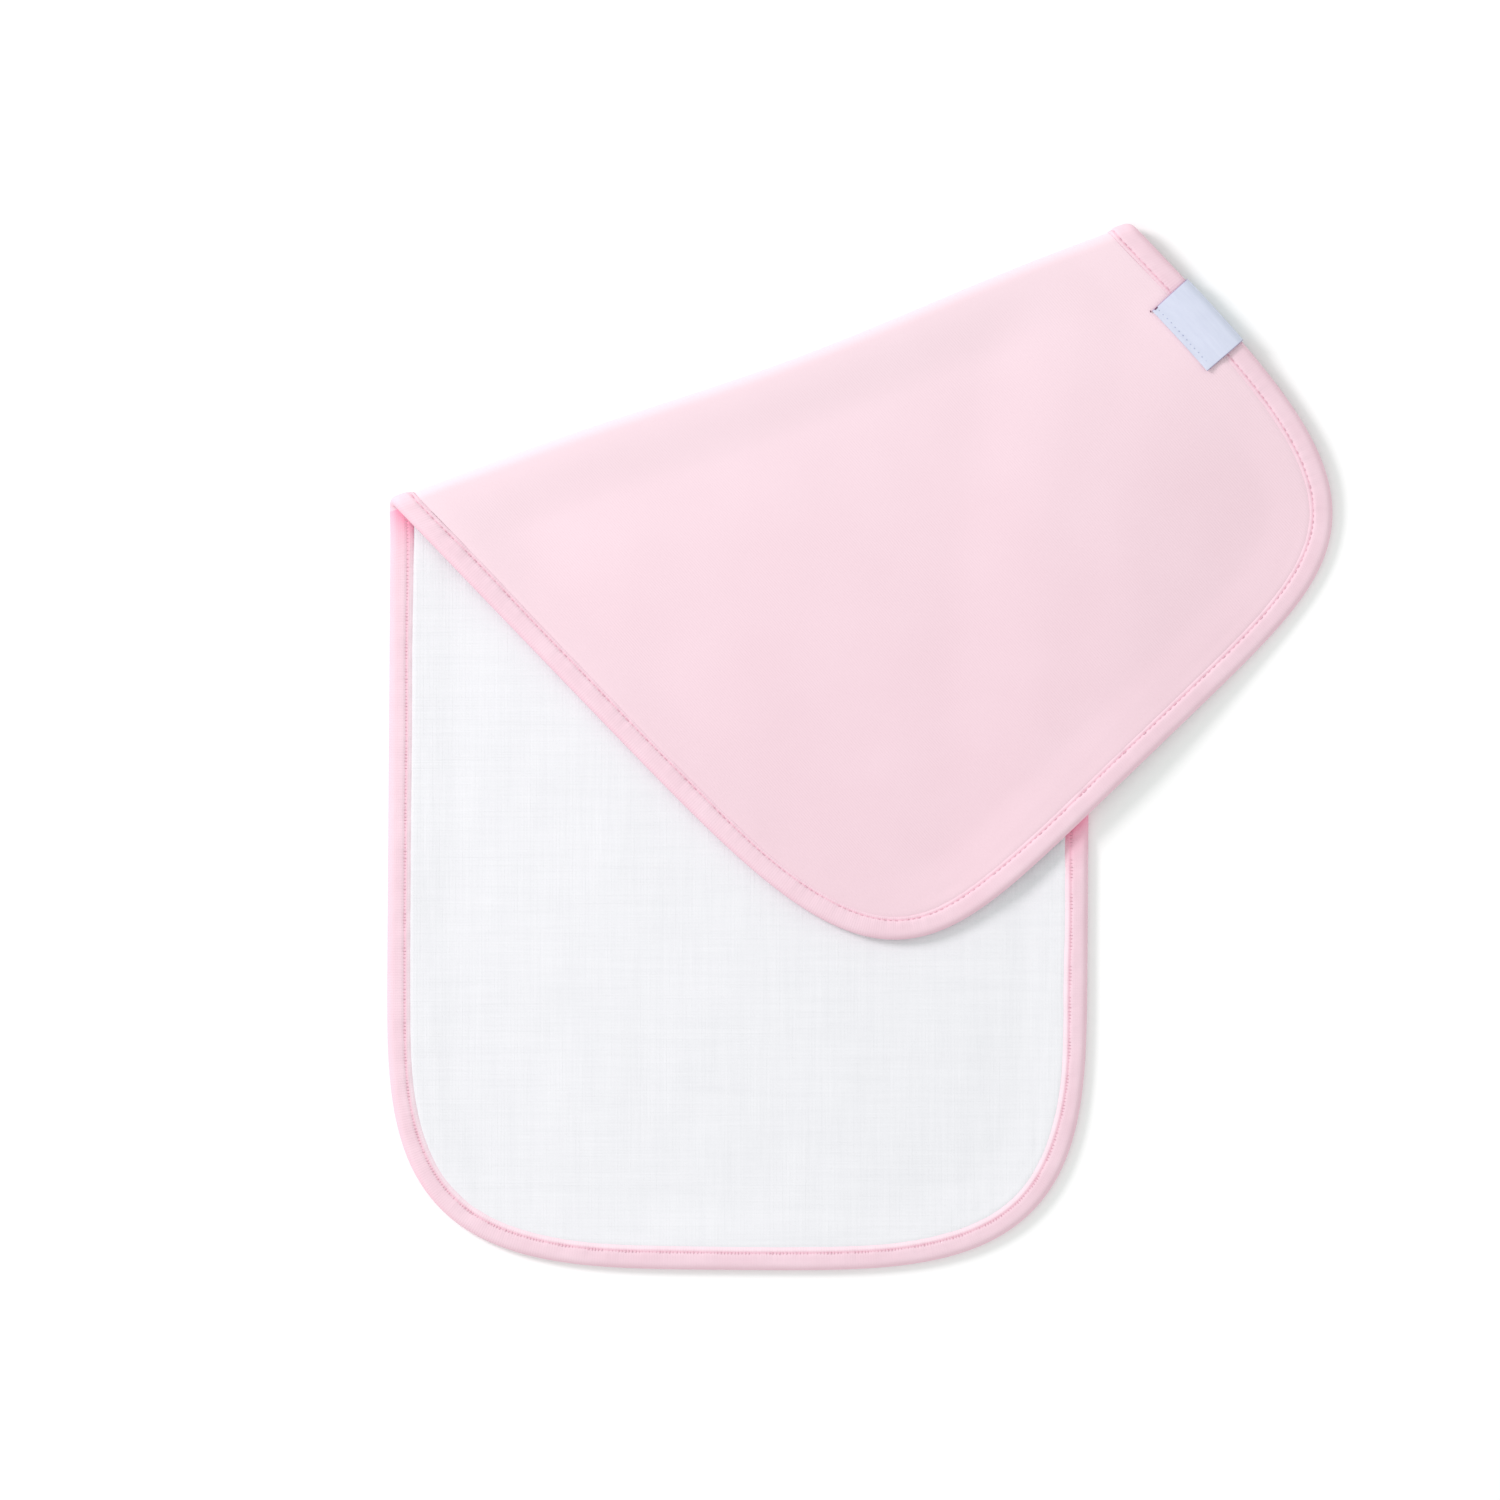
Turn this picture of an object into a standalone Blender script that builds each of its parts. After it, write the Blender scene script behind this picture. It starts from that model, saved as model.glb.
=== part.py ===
# Burp cloth: two faces sewn back to back, bound all round, folded once.
# Units are metres, +Z is up, and the cloth lies on the plane z = 0.
# The cloth is drawn unrolled, in a plane with s along the crease and q across it.
# The part with q below zero lies on the floor, and the flap above it folds over at the crease.
import math

import bmesh
import bpy
import numpy as np

MM = 0.001

# Crease: its middle in plan, its direction, how far it hangs back and where along it that is
CREASE_MIDDLE = (-36.29 * MM, 138.17 * MM)
CREASE_ANGLE = math.radians(20.45)
CREASE_HALF = 142.0 * MM
CREASE_SAG = 2.95 * MM
SAG_MIDDLE = 12.8 * MM
SAG_REACH = 105.0 * MM
CREASE_REACH = 70.0 * MM

# Bend: the radius of the middle surface at the crease, at its left and right ends.
BEND_LEFT = 2.6 * MM
BEND_RIGHT = 2.6 * MM
SHOULDER = 24.0 * MM
BEND_SKEW = 14.0 * MM
MEAN_BEND = (BEND_LEFT + BEND_RIGHT) / 2

# Rounded ends: centre in plan, direction of the end, half width, corner length and roundness.
LOWER_END = {"centre": (-44.39 * MM, -74.69 * MM), "angle": math.radians(-90.4),
             "half": 127.0 * MM, "corner": 115.0 * MM, "power": 3.69}
FLAP_END = {"centre": (-27.42 * MM, 130.70 * MM), "angle": math.radians(-46.1),
            "half": 131.8 * MM, "corner": 188.2 * MM, "power": 5.41}
JOIN_LEFT = 10.0 * MM
JOIN_RIGHT = 120.0 * MM
JOIN_SEARCH = 2.2 * JOIN_RIGHT
SIDE_LENGTH = 450.0 * MM

# Layers: thickness of each face, thinner under the tape, and the air between pieces.
FACE = 1.0 * MM
FACE_BOUND = 0.7 * MM
GAP = 0.3 * MM
TAPE = 0.9 * MM
TAPE_WIDTH = 8.6 * MM
FOLD_ROOM = 0.2 * MM
TAPE_ROUND = ((0.9, 1.0), (0.25, 0.68))
LAYER_GAP = 0.5 * MM
EDGE_RAMP = 15.0 * MM
TAPE_CLEAR = 1.9 * MM

# Drop of the flap where it leaves the lower half and comes down to the floor.
BINDING_RAMP = 40.0 * MM
SIDE_MARGIN = 5.0 * MM
DROP = 75.0 * MM

# Label: a ribbon folded over the tape of the flap's upper right edge.
LABEL_START = 29.3 * MM
LABEL_LENGTH = 30.0 * MM
LABEL_DEPTH = 16.5 * MM
LABEL = 1.0 * MM
LABEL_DOWN = 3.2 * MM
LABEL_LEDGE = 0.5 * MM
LABEL_TURN = 1.2 * MM
LABEL_SLACK = 0.4 * MM
LABEL_FOLD = 0.5

# Lift of the flap's edge off the floor: its place along the edge, height and extent.
LIFT_PLACE = 80.0 * MM
LIFT = 2.4 * MM
LIFT_FLAT = 15.0 * MM
LIFT_REACH = 62.0 * MM

# Mesh fineness: longest step along the edge and across the crease, and largest turn.
EDGE_STEP = 26.0 * MM
DROP_STEP = 7.0 * MM
LOWER_STEP = 26.0 * MM
FLAP_STEP = 15.0 * MM
TIP = 28.0 * MM
TIP_STEP = 4.5 * MM
FLAP_TIP = 110.0 * MM
FLAP_TIP_STEP = 6.5 * MM
SHOULDER_STEP = 5.0 * MM
TURN_STEP = math.radians(9.0)
BEND_STEP = math.radians(20.0)
COLUMNS = 14
SIDE_CROWDING = 5.0
LEAST_SQUARE = 0.3
SLOPE_STEP = 0.1 * MM
NORMAL_STEP = 1.5 * MM
TURN_SPAN = 3.0 * MM
ROW_MARGIN = 0.25 * MM
NEAR_EDGE = (0.0, 7.6 * MM, 10.6 * MM, 18.0 * MM, 26.0 * MM)
EDGE_ROOM = 0.35
LABEL_RINGS = 7

# Ends of the closely stepped stretches at the bend, in bend radii, and samples of each curve.
BEND_BEFORE = 1.5
BEND_AFTER = math.pi - 0.5
BEND_PAST = 3.0
END_POINTS = 1600
SIDE_POINTS = 200
BRIDGE_POINTS = 120
COARSE_POINTS = 500
INSET_POINTS = 2400
LEAN_POINTS = 30
LEAN_SAMPLES = 400
DENSITY_POINTS = 4001
ROW_POINTS = 800

HALF_STACK = FACE + GAP / 2
HALF_BOUND = FACE_BOUND + GAP * 1.5 + TAPE
EDGE_RISE = HALF_BOUND - HALF_STACK

COLOURS = {
    "jersey_panel": (0.955, 0.700, 0.765),
    "muslin_panel": (0.900, 0.900, 0.925),
    "binding": (0.955, 0.660, 0.735),
    "label": (0.720, 0.760, 0.900),
}
ROUGHNESS = {"jersey_panel": 0.85, "muslin_panel": 0.9, "binding": 0.8, "label": 0.55}


# Smooth step from 0 to 1
def ease(value):
    x = np.clip(value, 0.0, 1.0)
    return x * x * (3.0 - 2.0 * x)


# Bend radius along the crease
def bend_radius(s):
    share = np.clip((s + CREASE_HALF) / (2.0 * CREASE_HALF), 0.0, 1.0)
    return BEND_LEFT + (BEND_RIGHT - BEND_LEFT) * share


# Plan position of crease coordinates, and the reverse
def to_plan(s, t):
    cos_a = math.cos(CREASE_ANGLE)
    sin_a = math.sin(CREASE_ANGLE)
    return CREASE_MIDDLE[0] + s * cos_a - t * sin_a, CREASE_MIDDLE[1] + s * sin_a + t * cos_a


def to_crease(x, y):
    cos_a = math.cos(CREASE_ANGLE)
    sin_a = math.sin(CREASE_ANGLE)
    dx = x - CREASE_MIDDLE[0]
    dy = y - CREASE_MIDDLE[1]
    return dx * cos_a + dy * sin_a, dy * cos_a - dx * sin_a


# One rounded end with its two sides, as crease coordinates, from its u side to its -u side
def end_curve(end):
    angle = np.linspace(0.0, math.pi, END_POINTS)
    power = 2.0 / end["power"]
    u = end["half"] * np.sign(np.cos(angle)) * np.abs(np.cos(angle)) ** power
    v = end["corner"] * np.abs(np.sin(angle)) ** power
    back = np.linspace(-SIDE_LENGTH, 0.0, SIDE_POINTS)[:-1]
    u = np.concatenate([np.full(back.size, end["half"]), u, np.full(back.size, -end["half"])])
    v = np.concatenate([back, v, back[::-1]])
    along = (math.cos(end["angle"]), math.sin(end["angle"]))
    x = end["centre"][0] + v * along[0] - u * along[1]
    y = end["centre"][1] + v * along[1] + u * along[0]
    return to_crease(x, y)


# Cubic that leaves one point along one direction and reaches another along another
def bridge(start, start_dir, stop, stop_dir):
    k = np.linspace(0.0, 1.0, BRIDGE_POINTS)[:, None]
    reach = np.linalg.norm(stop - start)
    a = (2 * k ** 3 - 3 * k ** 2 + 1) * start + (k ** 3 - 2 * k ** 2 + k) * reach * start_dir
    b = (3 * k ** 2 - 2 * k ** 3) * stop + (k ** 3 - k ** 2) * reach * stop_dir
    return a + b


# Closed outline of the unrolled cloth, anticlockwise from the right end of the crease
def unrolled_outline():
    s, t = end_curve(LOWER_END)
    keep = t < np.where(s > 0.0, -JOIN_RIGHT, -JOIN_LEFT)
    lower = np.stack([s[keep], t[keep]], axis=1)[::-1]
    s, t = end_curve(FLAP_END)
    keep = t < -bend_radius(s)
    flap = np.stack([s[keep], (math.pi - 2.0) * bend_radius(s[keep]) - t[keep]], axis=1)
    right = bridge(lower[-1], unit(lower[-1] - lower[-3]), flap[0], unit(flap[2] - flap[0]))
    left = bridge(flap[-1], unit(flap[-1] - flap[-3]), lower[0], unit(lower[2] - lower[0]))
    apex = int(np.argmax(right[:, 1] > 0.0))
    return np.concatenate([right[apex:-1], flap, left[1:-1], lower, right[1:apex + 1]])


def unit(vector):
    return vector / np.linalg.norm(vector)


# Points and outward normals of a closed line at given lengths along it
class Edge:
    def __init__(self, points):
        self.points = points
        step = np.linalg.norm(np.diff(points, axis=0), axis=1)
        self.length = np.concatenate([[0.0], np.cumsum(step)])
        self.total = self.length[-1]

    def at(self, length):
        where = np.mod(length, self.total)
        return np.stack([np.interp(where, self.length, self.points[:, i]) for i in (0, 1)], axis=-1)

    def normal(self, length):
        ahead = self.at(length + NORMAL_STEP) - self.at(length - NORMAL_STEP)
        ahead = ahead / np.linalg.norm(ahead, axis=-1, keepdims=True)
        return np.stack([ahead[..., 1], -ahead[..., 0]], axis=-1)

    # Unrolled direction into the cloth for each unit of depth: square to the edge,
    # but along the crease near the bend, so that a straight line there stays straight
    def inward(self, length):
        normal = self.normal(length)
        q = self.at(length)[..., 1]
        middle = (math.pi / 2 - 1.0) * MEAN_BEND
        share = 1.0 - ease((np.abs(q - middle) - BEND_SKEW) / BEND_SKEW)
        row = np.stack([1.0 / normal[..., 0], np.zeros(q.shape)], axis=-1)
        share = np.where(np.abs(normal[..., 0]) < 0.5, 0.0, share)[..., None]
        return -(normal * (1.0 - share) + np.where(share > 0.0, row, 0.0) * share)

    def inset(self, depth):
        length = np.linspace(0.0, self.total, INSET_POINTS)
        return self.at(length) - self.normal(length) * depth


OUTLINE = Edge(unrolled_outline())
COARSE = OUTLINE.at(np.linspace(0.0, OUTLINE.total, COARSE_POINTS))
LIFT_MIDDLE = OUTLINE.at(LIFT_PLACE)


# How far the hidden stretch of the lower half's right side leans out, against the crease distance
def right_lean():
    search = np.linspace(OUTLINE.total - JOIN_SEARCH, OUTLINE.total, LEAN_SAMPLES)
    points = OUTLINE.at(search)
    points = points[points[:, 1] < 0.0]
    x, y = to_plan(points[:, 0], points[:, 1])
    along = (math.cos(LOWER_END["angle"]), math.sin(LOWER_END["angle"]))
    across = (y - LOWER_END["centre"][1]) * along[0] - (x - LOWER_END["centre"][0]) * along[1]
    places = np.linspace(-JOIN_RIGHT, 0.0, LEAN_POINTS)
    return places, np.interp(places, points[:, 1], across - LOWER_END["half"])


LEAN_T, LEAN_OUT = right_lean()


# Distance of unrolled points from the cloth's edge
def edge_distance(s, q):
    flat = np.stack([np.ravel(s), np.ravel(q)], axis=1)
    start = COARSE[:-1]
    run = COARSE[1:] - start
    square = (run ** 2).sum(axis=1)
    away = flat[:, None, :] - start[None, :, :]
    share = np.clip((away * run).sum(axis=2) / square, 0.0, 1.0)
    gap = away - share[..., None] * run
    return np.sqrt((gap ** 2).sum(axis=2).min(axis=1)).reshape(np.shape(s))


# Extra height of the middle surface near the edge, where the tape lies under it
def edge_rise(depth):
    return EDGE_RISE * (1.0 - ease((depth - TAPE_WIDTH - TAPE_CLEAR) / EDGE_RAMP))


# Distance inside the lower half's sides, in plan
def inside_lower(s, t):
    x, y = to_plan(s, t)
    along = (math.cos(LOWER_END["angle"]), math.sin(LOWER_END["angle"]))
    across = (y - LOWER_END["centre"][1]) * along[0] - (x - LOWER_END["centre"][0]) * along[1]
    lean = np.interp(t, LEAN_T, LEAN_OUT)
    return LOWER_END["half"] - np.where(across > 0.0, across - lean, -across)


# Whether a point of the flap lies where it rises over the lower half's side or drops past it
def crosses_side(s, q):
    inside = inside_lower(s, (math.pi - 2.0) * bend_radius(s) - q)
    return (inside > -SIDE_MARGIN - DROP) & (inside < TAPE_WIDTH + SIDE_MARGIN + BINDING_RAMP)


# Height of the flap's middle surface over what lies under it, without its own tape
def flap_level(s, t, q):
    inside = inside_lower(s, t)
    on_face = 2 * HALF_STACK + LAYER_GAP + HALF_STACK
    on_tape = 2 * HALF_BOUND + LAYER_GAP + HALF_STACK
    rise_end = TAPE_WIDTH + SIDE_MARGIN
    level = on_face + (on_tape - on_face) * ease((rise_end + BINDING_RAMP - inside) / BINDING_RAMP)
    fall = ease((-SIDE_MARGIN - inside) / DROP)
    level = level + (HALF_STACK - on_tape) * fall
    far = np.hypot(s - LIFT_MIDDLE[0], q - LIFT_MIDDLE[1])
    return level + LIFT * (1.0 - ease((far - LIFT_FLAT) / (LIFT_REACH - LIFT_FLAT)))


# Middle surface of the folded cloth at unrolled coordinates
def middle_surface(s, q):
    radius = bend_radius(s)
    bend_end = (math.pi - 1.0) * radius
    angle = np.clip((q + radius) / radius, 0.0, math.pi)
    rise = edge_rise(edge_distance(s, q))
    low = HALF_STACK + rise
    t = np.where(q > -radius, -radius + radius * np.sin(angle) - np.maximum(q - bend_end, 0.0), q)
    top = low + 2.0 * radius
    level = flap_level(s, t, q) + rise
    settle = ease((q - bend_end) / SHOULDER)
    z = low + radius * (1.0 - np.cos(angle))
    z = np.where(q > bend_end, top + (level - top) * settle, z)
    away = np.abs(q - (math.pi / 2 - 1.0) * radius)
    sag = CREASE_SAG * (1.0 - ease(np.abs(s - SAG_MIDDLE) / SAG_REACH))
    t = t - sag * (1.0 - ease(away / CREASE_REACH))
    x, y = to_plan(s, t)
    return np.stack([x, y, z], axis=-1)


# Folded position of a point that stands off the middle surface towards the muslin side
def folded(s, q, off):
    s, q, off = np.broadcast_arrays(s, q, off)
    along = middle_surface(s + SLOPE_STEP, q) - middle_surface(s - SLOPE_STEP, q)
    across = middle_surface(s, q + SLOPE_STEP) - middle_surface(s, q - SLOPE_STEP)
    normal = np.cross(along, across)
    normal = normal / np.linalg.norm(normal, axis=-1, keepdims=True)
    return middle_surface(s, q) + normal * off[..., None]


# Values from start to stop whose steps follow a density
def spaced(start, stop, density):
    fine = np.linspace(start, stop, DENSITY_POINTS)
    weight = density(fine)
    total = np.concatenate([[0.0], np.cumsum((weight[1:] + weight[:-1]) / 2 * np.diff(fine))])
    count = int(math.ceil(total[-1]))
    return np.interp(np.linspace(0.0, total[-1], count + 1), total, fine)


# Rows across the crease: close at the bend and near both ends of the cloth
def row_places(low, high):
    def density(q):
        bend = (q > -BEND_BEFORE * MEAN_BEND) & (q < BEND_AFTER * MEAN_BEND)
        shoulder = (q >= BEND_AFTER * MEAN_BEND) & (q < SHOULDER + BEND_PAST * MEAN_BEND)
        tip = np.minimum(q - low, high - q)
        value = np.where(q < 0.0, 1.0 / LOWER_STEP, 1.0 / FLAP_STEP)
        value = np.where(high - q < FLAP_TIP, 1.0 / FLAP_TIP_STEP, value)
        value = np.where(tip < TIP, 1.0 / TIP_STEP, value)
        value = np.where(shoulder, 1.0 / SHOULDER_STEP, value)
        return np.where(bend, 1.0 / (BEND_STEP * MEAN_BEND), value)

    return spaced(low, high, density)


# Left and right ends of each row inside an inset outline, and how squarely the row meets it there
def row_ends(outline, rows):
    start = outline[:-1]
    stop = outline[1:]
    ends = []
    for q in rows:
        cross = (start[:, 1] - q) * (stop[:, 1] - q) <= 0.0
        cross &= start[:, 1] != stop[:, 1]
        share = (q - start[cross, 1]) / (stop[cross, 1] - start[cross, 1])
        run = stop[cross] - start[cross]
        s = start[cross, 0] + share * run[:, 0]
        square = np.abs(run[:, 1]) / np.hypot(run[:, 0], run[:, 1])
        left = int(np.argmin(s))
        right = int(np.argmax(s))
        ends.append((s[left], s[right], square[left], square[right]))
    return ends


# Places along a row: a few near each edge, where the tape and the ramp are, and others between
# that crowd where the flap passes over the lower half's side
def row_points(left, right, square_left, square_right, q):
    room = EDGE_ROOM * (right - left)
    near = np.array(NEAR_EDGE)
    from_left = near * min(1.0 / max(square_left, LEAST_SQUARE), room / near[-1])
    from_right = near * min(1.0 / max(square_right, LEAST_SQUARE), room / near[-1])
    fine = np.linspace(left + from_left[-1], right - from_right[-1], ROW_POINTS)
    weight = np.where((q > 0.0) & crosses_side(fine, q), SIDE_CROWDING, 1.0)
    total = np.cumsum(weight)
    inner = np.interp(np.linspace(total[0], total[-1], COLUMNS), total, fine)
    return np.concatenate([left + from_left[:-1], inner, (right - from_right[:-1])[::-1]])


# Distance of a face's outer side from the middle surface: less under the tape
def face_side(depth):
    bound = ease((depth - TAPE_WIDTH - GAP) / (TAPE_CLEAR - GAP))
    return GAP / 2 + FACE_BOUND + (FACE - FACE_BOUND) * bound


def new_object(name, mesh):
    obj = bpy.data.objects.new(name, mesh)
    bpy.data.collections["burp_cloth"].objects.link(obj)
    obj.data.materials.append(make_material(name))
    return obj


def make_material(name):
    material = bpy.data.materials.new(name)
    material.use_nodes = True
    shader = material.node_tree.nodes["Principled BSDF"]
    shader.inputs["Base Color"].default_value = (*COLOURS[name], 1.0)
    shader.inputs["Roughness"].default_value = ROUGHNESS[name]
    shader.inputs["Metallic"].default_value = 0.0
    material.diffuse_color = (*COLOURS[name], 1.0)
    return material


# One face of the cloth: a grid in the unrolled outline, folded, with its own thickness
def make_face(name, side):
    outline = OUTLINE.inset(TAPE + FOLD_ROOM + GAP)
    low = outline[:, 1].min() + ROW_MARGIN
    high = outline[:, 1].max() - ROW_MARGIN
    rows = row_places(low, high)
    ends = row_ends(outline, rows)
    s = np.array([row_points(*end, row) for end, row in zip(ends, rows)])
    q = np.repeat(rows[:, None], s.shape[1], axis=1)
    depth = edge_distance(s, q)
    outer = folded(s, q, side * face_side(depth))
    inner = folded(s, q, np.full(s.shape, side * GAP / 2))
    mesh = bpy.data.meshes.new(name)
    bm = bmesh.new()
    bmesh.ops.create_grid(bm, x_segments=s.shape[1] - 1, y_segments=s.shape[0] - 1, size=0.5)
    bm.verts.ensure_lookup_table()
    order = sorted(bm.verts, key=lambda v: (round(v.co.y, 5), round(v.co.x, 5)))
    bottom = dict(zip(order, inner.reshape(-1, 3)))
    upper = bmesh.ops.duplicate(bm, geom=bm.verts[:] + bm.edges[:] + bm.faces[:])
    top_of = {v: upper["vert_map"][v] for v in order}
    rim = [e for e in bm.edges if e.is_boundary]
    for vert, place in zip(order, outer.reshape(-1, 3)):
        top_of[vert].co = place
    for vert, place in bottom.items():
        vert.co = place
    bmesh.ops.bridge_loops(bm, edges=rim)
    bmesh.ops.recalc_face_normals(bm, faces=bm.faces)
    bm.to_mesh(mesh)
    bm.free()
    return new_object(name, mesh)


# A closed section carried along stations of the edge; section points are (depth, offset)
def sweep(name, stations, section, closed):
    point = OUTLINE.at(stations)
    inward = OUTLINE.inward(stations)
    depth = section[:, 0]
    place = point[:, None, :] + inward[:, None, :] * depth[None, :, None]
    off = np.broadcast_to(section[:, 1], place.shape[:2])
    rings = folded(place[..., 0], place[..., 1], off)
    mesh = bpy.data.meshes.new(name)
    bm = bmesh.new()
    verts = [[bm.verts.new(p) for p in ring] for ring in rings]
    size = len(section)
    count = len(verts)
    for i in range(count if closed else count - 1):
        first = verts[i]
        second = verts[(i + 1) % count]
        for j in range(size):
            k = (j + 1) % size
            bm.faces.new((first[j], first[k], second[k], second[j]))
    if not closed:
        bm.faces.new(verts[0])
        bm.faces.new(verts[-1][::-1])
    bmesh.ops.recalc_face_normals(bm, faces=bm.faces)
    bm.to_mesh(mesh)
    bm.free()
    return new_object(name, mesh)


# Section of the tape: a U with a round outer edge
def tape_section():
    out = HALF_BOUND
    wall = out - TAPE
    rounding = [(depth * out, height * out) for depth, height in TAPE_ROUND]
    upper = [(TAPE_WIDTH, wall), (TAPE_WIDTH, out)] + rounding
    lower = [(depth, -off) for depth, off in reversed(upper)]
    inside = TAPE + FOLD_ROOM
    return np.array(upper + [(0.0, 0.0)] + lower + [(inside, -wall), (inside, wall)])


# Stations along the edge: close at the bends and in the corners
def edge_stations():
    def density(length):
        point = OUTLINE.at(length)
        before = OUTLINE.normal(length - TURN_SPAN)
        after = OUTLINE.normal(length + TURN_SPAN)
        cross = before[:, 0] * after[:, 1] - before[:, 1] * after[:, 0]
        turn = np.abs(np.arcsin(np.clip(cross, -1.0, 1.0))) / (2.0 * TURN_SPAN)
        q = point[:, 1]
        value = 1.0 / EDGE_STEP + turn / TURN_STEP
        over_side = (q > 0.0) & crosses_side(point[:, 0], q)
        value = np.where(over_side, np.maximum(value, 1.0 / DROP_STEP), value)
        shoulder = (q > -BEND_PAST * MEAN_BEND) & (q < SHOULDER + BEND_PAST * MEAN_BEND)
        value = np.where(shoulder, np.maximum(value, 1.0 / SHOULDER_STEP), value)
        bend = (q > -BEND_BEFORE * MEAN_BEND) & (q < BEND_AFTER * MEAN_BEND)
        return np.where(bend, 1.0 / (BEND_STEP * MEAN_BEND), value)

    return spaced(0.0, OUTLINE.total, density)[:-1]


def make_binding():
    return sweep("binding", edge_stations(), tape_section(), closed=True)


# Label: a ribbon over the tape on both sides of the edge, coming down to the faces behind it
def make_label():
    near = HALF_BOUND + GAP
    low = HALF_STACK + GAP
    down = TAPE_WIDTH + LABEL_DOWN
    ledge = TAPE_WIDTH + LABEL_LEDGE
    steps = [(LABEL_DEPTH, low), (down, low), (ledge, near), (LABEL_TURN, near),
             (-GAP, LABEL_FOLD * near)]
    inner = steps + [(depth, -off) for depth, off in reversed(steps)]
    outer_steps = [(LABEL_DEPTH, low + LABEL), (down + LABEL_SLACK, low + LABEL),
                   (ledge + LABEL_SLACK, near + LABEL), (LABEL_TURN - LABEL_SLACK, near + LABEL),
                   (-GAP - LABEL, LABEL_FOLD * near)]
    outer = outer_steps + [(depth, -off) for depth, off in reversed(outer_steps)]
    section = np.array(inner + outer[::-1])
    stations = np.linspace(LABEL_START, LABEL_START + LABEL_LENGTH, LABEL_RINGS)
    return sweep("label", stations, section, closed=False)


def clear_scene():
    for obj in list(bpy.data.objects):
        bpy.data.objects.remove(obj, do_unlink=True)


def main():
    clear_scene()
    collection = bpy.data.collections.new("burp_cloth")
    bpy.context.scene.collection.children.link(collection)
    make_face("jersey_panel", -1.0)
    make_face("muslin_panel", 1.0)
    make_binding()
    make_label()


main()
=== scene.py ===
# Burp cloth: knitted face and gauze face, bound all round, folded once on a slant.
# Units are metres and +Z is up. The cloth is drawn unrolled, with s along the crease
# and q across it. The part with q below zero lies on the floor, and the flap folds over it.
import math

import bmesh
import bpy
import numpy as np
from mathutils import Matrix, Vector


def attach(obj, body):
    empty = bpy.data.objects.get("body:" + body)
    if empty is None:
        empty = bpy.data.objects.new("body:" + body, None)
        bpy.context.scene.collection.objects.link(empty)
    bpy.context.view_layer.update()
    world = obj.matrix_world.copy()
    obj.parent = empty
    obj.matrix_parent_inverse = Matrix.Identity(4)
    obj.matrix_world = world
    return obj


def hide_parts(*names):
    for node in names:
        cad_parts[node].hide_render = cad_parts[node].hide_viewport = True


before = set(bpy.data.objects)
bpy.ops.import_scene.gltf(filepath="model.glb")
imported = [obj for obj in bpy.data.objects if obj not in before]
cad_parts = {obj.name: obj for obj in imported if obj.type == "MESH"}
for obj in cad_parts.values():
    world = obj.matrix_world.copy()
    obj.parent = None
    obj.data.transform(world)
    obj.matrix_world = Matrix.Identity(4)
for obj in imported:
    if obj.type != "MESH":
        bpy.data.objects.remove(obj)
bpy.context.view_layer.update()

MM = 0.001

# Crease: its middle in plan, its direction, how far it hangs back and where along it that is
CREASE_MIDDLE = (-36.29 * MM, 138.17 * MM)
CREASE_ANGLE = math.radians(20.45)
CREASE_HALF = 142.0 * MM
CREASE_SAG = 2.95 * MM
SAG_MIDDLE = 12.8 * MM
SAG_REACH = 105.0 * MM
CREASE_REACH = 70.0 * MM

# Bend: the radius of the middle surface at the crease's left and right ends
BEND_LEFT = 2.6 * MM
BEND_RIGHT = 2.6 * MM
SHOULDER = 24.0 * MM
BEND_SKEW = 14.0 * MM
MEAN_BEND = (BEND_LEFT + BEND_RIGHT) / 2

# Rounded ends: centre in plan, direction of the end, half width, corner length and roundness
LOWER_END = {"centre": (-44.39 * MM, -74.69 * MM), "angle": math.radians(-90.4),
             "half": 127.0 * MM, "corner": 115.0 * MM, "power": 3.69}
FLAP_END = {"centre": (-27.42 * MM, 130.70 * MM), "angle": math.radians(-46.1),
            "half": 131.8 * MM, "corner": 188.2 * MM, "power": 5.41}
JOIN_LEFT = 10.0 * MM
JOIN_RIGHT = 120.0 * MM
JOIN_SEARCH = 2.2 * JOIN_RIGHT
SIDE_LENGTH = 450.0 * MM

# Layers: thickness of each face, thinner under the tape, and the air between pieces
FACE = 1.0 * MM
FACE_BOUND = 0.7 * MM
GAP = 0.3 * MM
TAPE = 0.9 * MM
TAPE_WIDTH = 8.6 * MM
LAYER_GAP = 0.5 * MM
EDGE_RAMP = 15.0 * MM
TAPE_CLEAR = 1.9 * MM
HALF_STACK = FACE + GAP / 2
HALF_BOUND = FACE_BOUND + GAP * 1.5 + TAPE
EDGE_RISE = HALF_BOUND - HALF_STACK

# Drop of the flap where it leaves the lower half and comes down to the floor
BINDING_RAMP = 40.0 * MM
SIDE_MARGIN = 5.0 * MM
DROP = 75.0 * MM

# Label on the flap's upper right edge
LABEL_START = 29.3 * MM
LABEL_LENGTH = 30.0 * MM
LABEL_DEPTH = 16.5 * MM
LABEL = 0.5 * MM

# Height of the ribbon's inner side over the face and over the tape, and the turn round the edge
LABEL_REST = 0.20 * MM
LABEL_OVER = 0.75 * MM
LABEL_BOW = 2.4 * MM

# Lift of the flap's edge off the floor: its place along the edge, height and extent
LIFT_PLACE = 80.0 * MM
LIFT = 2.4 * MM
LIFT_FLAT = 15.0 * MM
LIFT_REACH = 62.0 * MM

# Camera frame: width of the view on the floor and the world place of its middle
VIEW_WIDTH = 544.5 * MM
VIEW_MIDDLE = (-39.83 * MM, -1.07 * MM)
VIEW_HEIGHT = 5.0
SENSOR = 36.0

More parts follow.
